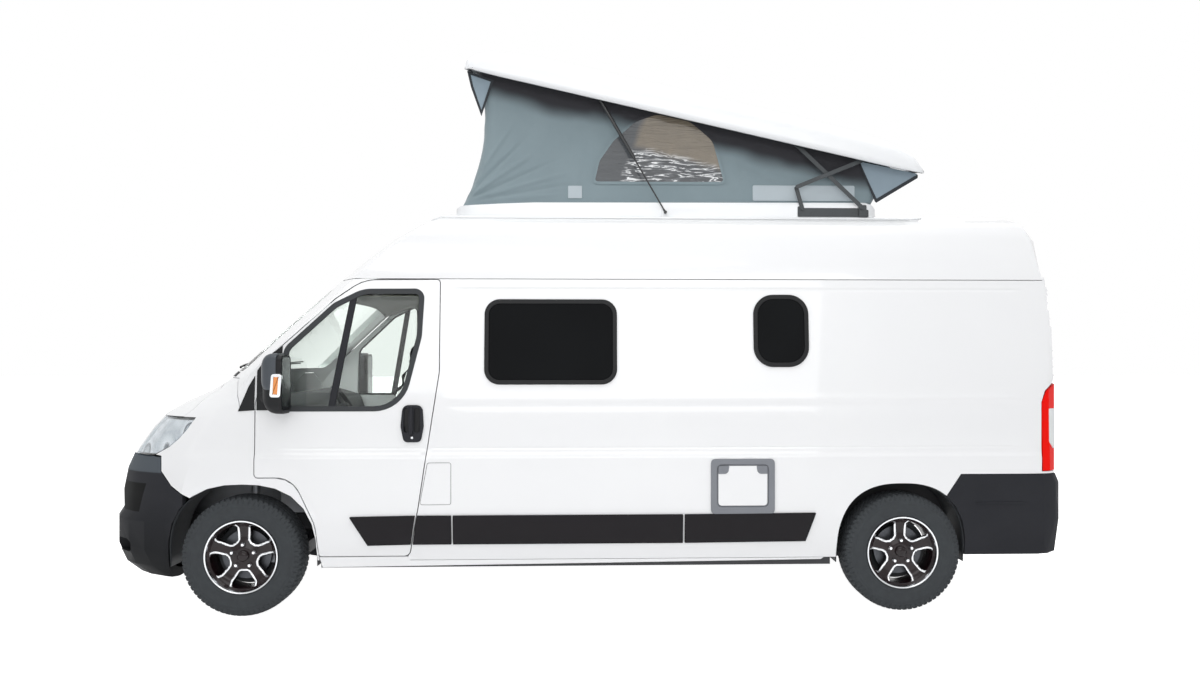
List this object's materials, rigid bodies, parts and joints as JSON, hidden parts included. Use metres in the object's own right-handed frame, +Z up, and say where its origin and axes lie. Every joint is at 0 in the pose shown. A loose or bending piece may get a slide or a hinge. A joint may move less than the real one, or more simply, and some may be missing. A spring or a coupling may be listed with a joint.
{
  "type": "camper van",
  "caption": "Large high-roof camper van with a fabric-sided pop-up roof raised at the front, opening doors, bonnet and hatch, steered and rolling wheels.",
  "frame": {"origin": "on the ground, under the middle of the van's overall length and width", "axes": "-X is forward, +X is the rear, -Y is the van's left side, +Z is up"},
  "size_m": [5.998, 2.508, 3.5309],
  "materials": {
    "white_paint": "gloss",
    "white_shell": "satin gloss",
    "grey_plastic": "matt",
    "black_plastic": "satin",
    "glass": "polished",
    "acrylic": "polished",
    "lamp_clear": "polished",
    "lamp_red": "polished",
    "canvas_grey": "coated cloth",
    "rubber": "matt",
    "wheel_black": "gloss lacquer",
    "chassis_black": "satin",
    "cast_metal": "as cast",
    "bright_metal": "polished",
    "bracket_grey": "satin",
    "frame_grey": "satin",
    "seat_fabric": "woven"
  },
  "bodies": {
    "body": {"underbody": "chassis_black", "left_side": "white_paint", "right_side": "white_paint", "sliding_door": "white_paint", "high_roof": "white_paint", "cab_frame": "white_paint", "fender_left": "white_paint", "fender_right": "white_paint", "front_bumper": "grey_plastic", "rear_bumper": "grey_plastic", "headlamp_left": "lamp_clear", "headlamp_right": "lamp_clear", "tail_lamp_left": "lamp_red", "tail_lamp_right": "lamp_red", "windscreen": "glass", "window_left_front": "acrylic", "window_left_rear": "acrylic", "window_right_front": "acrylic", "window_right_rear": "acrylic", "hatch_frame": "frame_grey", "dashboard": "black_plastic", "cab_seats": "seat_fabric", "engine": "cast_metal", "front_subframe": "chassis_black", "rear_axle": "chassis_black", "roof_collar": "white_shell", "canvas": "canvas_grey"},
    "cab_door_left": {"cab_door_left": "white_paint", "door_glass_left": "glass", "mirror_left": "black_plastic"},
    "cab_door_right": {"cab_door_right": "white_paint", "door_glass_right": "glass", "mirror_right": "black_plastic"},
    "rear_door_left": {"rear_door_left": "white_paint", "rear_glass_left": "glass"},
    "rear_door_right": {"rear_door_right": "white_paint", "rear_glass_right": "glass"},
    "bonnet": {"bonnet": "white_paint"},
    "service_hatch": {"service_hatch": "white_paint"},
    "roof_shell": {"roof_shell": "white_shell"},
    "strut_cylinder_left": {"strut_cylinder_left": "black_plastic"},
    "strut_cylinder_right": {"strut_cylinder_right": "black_plastic"},
    "strut_rod_left": {"strut_rod_left": "bright_metal"},
    "strut_rod_right": {"strut_rod_right": "bright_metal"},
    "roof_link_long_left": {"roof_link_long_left": "bracket_grey"},
    "roof_link_long_right": {"roof_link_long_right": "bracket_grey"},
    "roof_link_short_left": {"roof_link_short_left": "bracket_grey"},
    "roof_link_short_right": {"roof_link_short_right": "bracket_grey"},
    "roof_link_upper_left": {"roof_link_upper_left": "bracket_grey"},
    "roof_link_upper_right": {"roof_link_upper_right": "bracket_grey"},
    "knuckle_left": {"knuckle_left": "cast_metal"},
    "knuckle_right": {"knuckle_right": "cast_metal"},
    "wheel_front_left": {"wheel_front_left": "wheel_black", "tyre_front_left": "rubber"},
    "wheel_front_right": {"wheel_front_right": "wheel_black", "tyre_front_right": "rubber"},
    "wheel_rear_left": {"wheel_rear_left": "wheel_black", "tyre_rear_left": "rubber"},
    "wheel_rear_right": {"wheel_rear_right": "wheel_black", "tyre_rear_right": "rubber"}
  },
  "joints": [
    {"name": "steer_left", "type": "hinge", "parent": "body", "child": "knuckle_left", "pos_m": [-2.051, -0.79, 0.364], "axis": [0, 0, 1], "range_deg": [-35, 35]},
    {"name": "steer_right", "type": "hinge", "parent": "body", "child": "knuckle_right", "pos_m": [-2.051, 0.79, 0.364], "axis": [0, 0, 1], "range_deg": [-35, 35]},
    {"name": "roll_front_left", "type": "hinge", "parent": "knuckle_left", "child": "wheel_front_left", "pos_m": [-2.051, -0.905, 0.364], "axis": [0, 1, 0], "continuous": true},
    {"name": "roll_front_right", "type": "hinge", "parent": "knuckle_right", "child": "wheel_front_right", "pos_m": [-2.051, 0.905, 0.364], "axis": [0, 1, 0], "continuous": true},
    {"name": "roll_rear_left", "type": "hinge", "parent": "body", "child": "wheel_rear_left", "pos_m": [1.984, -0.905, 0.364], "axis": [0, 1, 0], "continuous": true},
    {"name": "roll_rear_right", "type": "hinge", "parent": "body", "child": "wheel_rear_right", "pos_m": [1.984, 0.905, 0.364], "axis": [0, 1, 0], "continuous": true},
    {"name": "cab_door_left_hinge", "type": "hinge", "parent": "body", "child": "cab_door_left", "pos_m": [-1.958, -1.028, 1.2], "axis": [0, 0, -1], "range_deg": [0, 70]},
    {"name": "cab_door_right_hinge", "type": "hinge", "parent": "body", "child": "cab_door_right", "pos_m": [-1.958, 1.028, 1.2], "axis": [0, 0, 1], "range_deg": [0, 70]},
    {"name": "rear_door_left_hinge", "type": "hinge", "parent": "body", "child": "rear_door_left", "pos_m": [2.992, -0.88, 0.9], "axis": [0.045, 0, -0.999], "range_deg": [0, 180]},
    {"name": "rear_door_right_hinge", "type": "hinge", "parent": "body", "child": "rear_door_right", "pos_m": [2.992, 0.88, 0.9], "axis": [-0.045, 0, 0.999], "range_deg": [0, 180]},
    {"name": "bonnet_hinge", "type": "hinge", "parent": "body", "child": "bonnet", "pos_m": [-2.245, 0, 1.484], "axis": [0, 1, 0], "range_deg": [0, 55]},
    {"name": "service_hatch_hinge", "type": "hinge", "parent": "body", "child": "service_hatch", "pos_m": [0.989, -1.036, 0.664], "axis": [1, 0, 0], "range_deg": [0, 90]},
    {"name": "roof_lift", "type": "hinge", "parent": "body", "child": "roof_shell", "pos_m": [3.396, 0, 2.076], "axis": [0, -1, 0], "range_deg": [0, 12.52], "deforming": ["canvas"]},
    {"name": "strut_turn_left", "type": "hinge", "parent": "roof_shell", "child": "strut_cylinder_left", "pos_m": [0.101, -0.787, 3.231], "axis": [0, -1, 0], "range_deg": [0, 47.5]},
    {"name": "strut_turn_right", "type": "hinge", "parent": "roof_shell", "child": "strut_cylinder_right", "pos_m": [0.101, 0.787, 3.231], "axis": [0, -1, 0], "range_deg": [0, 47.5]},
    {"name": "strut_slide_left", "type": "slide", "parent": "strut_cylinder_left", "child": "strut_rod_left", "axis": [0.5028, 0, -0.8644], "range_m": [-0.2545, 0]},
    {"name": "strut_slide_right", "type": "slide", "parent": "strut_cylinder_right", "child": "strut_rod_right", "axis": [0.5028, 0, -0.8644], "range_m": [-0.2545, 0]},
    {"name": "link_long_left", "type": "hinge", "parent": "body", "child": "roof_link_long_left", "pos_m": [1.801, -0.772, 2.522], "axis": [0, -1, 0], "range_deg": [0, 46.3]},
    {"name": "link_long_right", "type": "hinge", "parent": "body", "child": "roof_link_long_right", "pos_m": [1.801, 0.772, 2.522], "axis": [0, -1, 0], "range_deg": [0, 46.3]},
    {"name": "link_short_left", "type": "hinge", "parent": "body", "child": "roof_link_short_left", "pos_m": [1.413, -0.76, 2.517], "axis": [0, -1, 0], "range_deg": [0, 58.3]},
    {"name": "link_short_right", "type": "hinge", "parent": "body", "child": "roof_link_short_right", "pos_m": [1.413, 0.76, 2.517], "axis": [0, -1, 0], "range_deg": [0, 58.3]},
    {"name": "link_upper_left", "type": "hinge", "parent": "roof_shell", "child": "roof_link_upper_left", "pos_m": [1.842, -0.784, 2.847], "axis": [0, -1, 0], "range_deg": [-40.8, 0]},
    {"name": "link_upper_right", "type": "hinge", "parent": "roof_shell", "child": "roof_link_upper_right", "pos_m": [1.842, 0.784, 2.847], "axis": [0, -1, 0], "range_deg": [-40.8, 0]}
  ],
  "couplings": [
    {"joint": "steer_right", "follows": "steer_left", "ratio": 1},
    {"joint": "strut_turn_left", "follows": "roof_lift", "ratio": 3.7834},
    {"joint": "strut_turn_right", "follows": "roof_lift", "ratio": 3.7834},
    {"joint": "strut_slide_left", "follows": "roof_lift", "m_per_rad": -1.1633},
    {"joint": "strut_slide_right", "follows": "roof_lift", "m_per_rad": -1.1633},
    {"joint": "link_long_left", "follows": "roof_lift", "ratio": 3.686},
    {"joint": "link_long_right", "follows": "roof_lift", "ratio": 3.686},
    {"joint": "link_short_left", "follows": "roof_lift", "ratio": 4.6421},
    {"joint": "link_short_right", "follows": "roof_lift", "ratio": 4.6421},
    {"joint": "link_upper_left", "follows": "roof_lift", "ratio": -3.2425},
    {"joint": "link_upper_right", "follows": "roof_lift", "ratio": -3.2425}
  ]
}
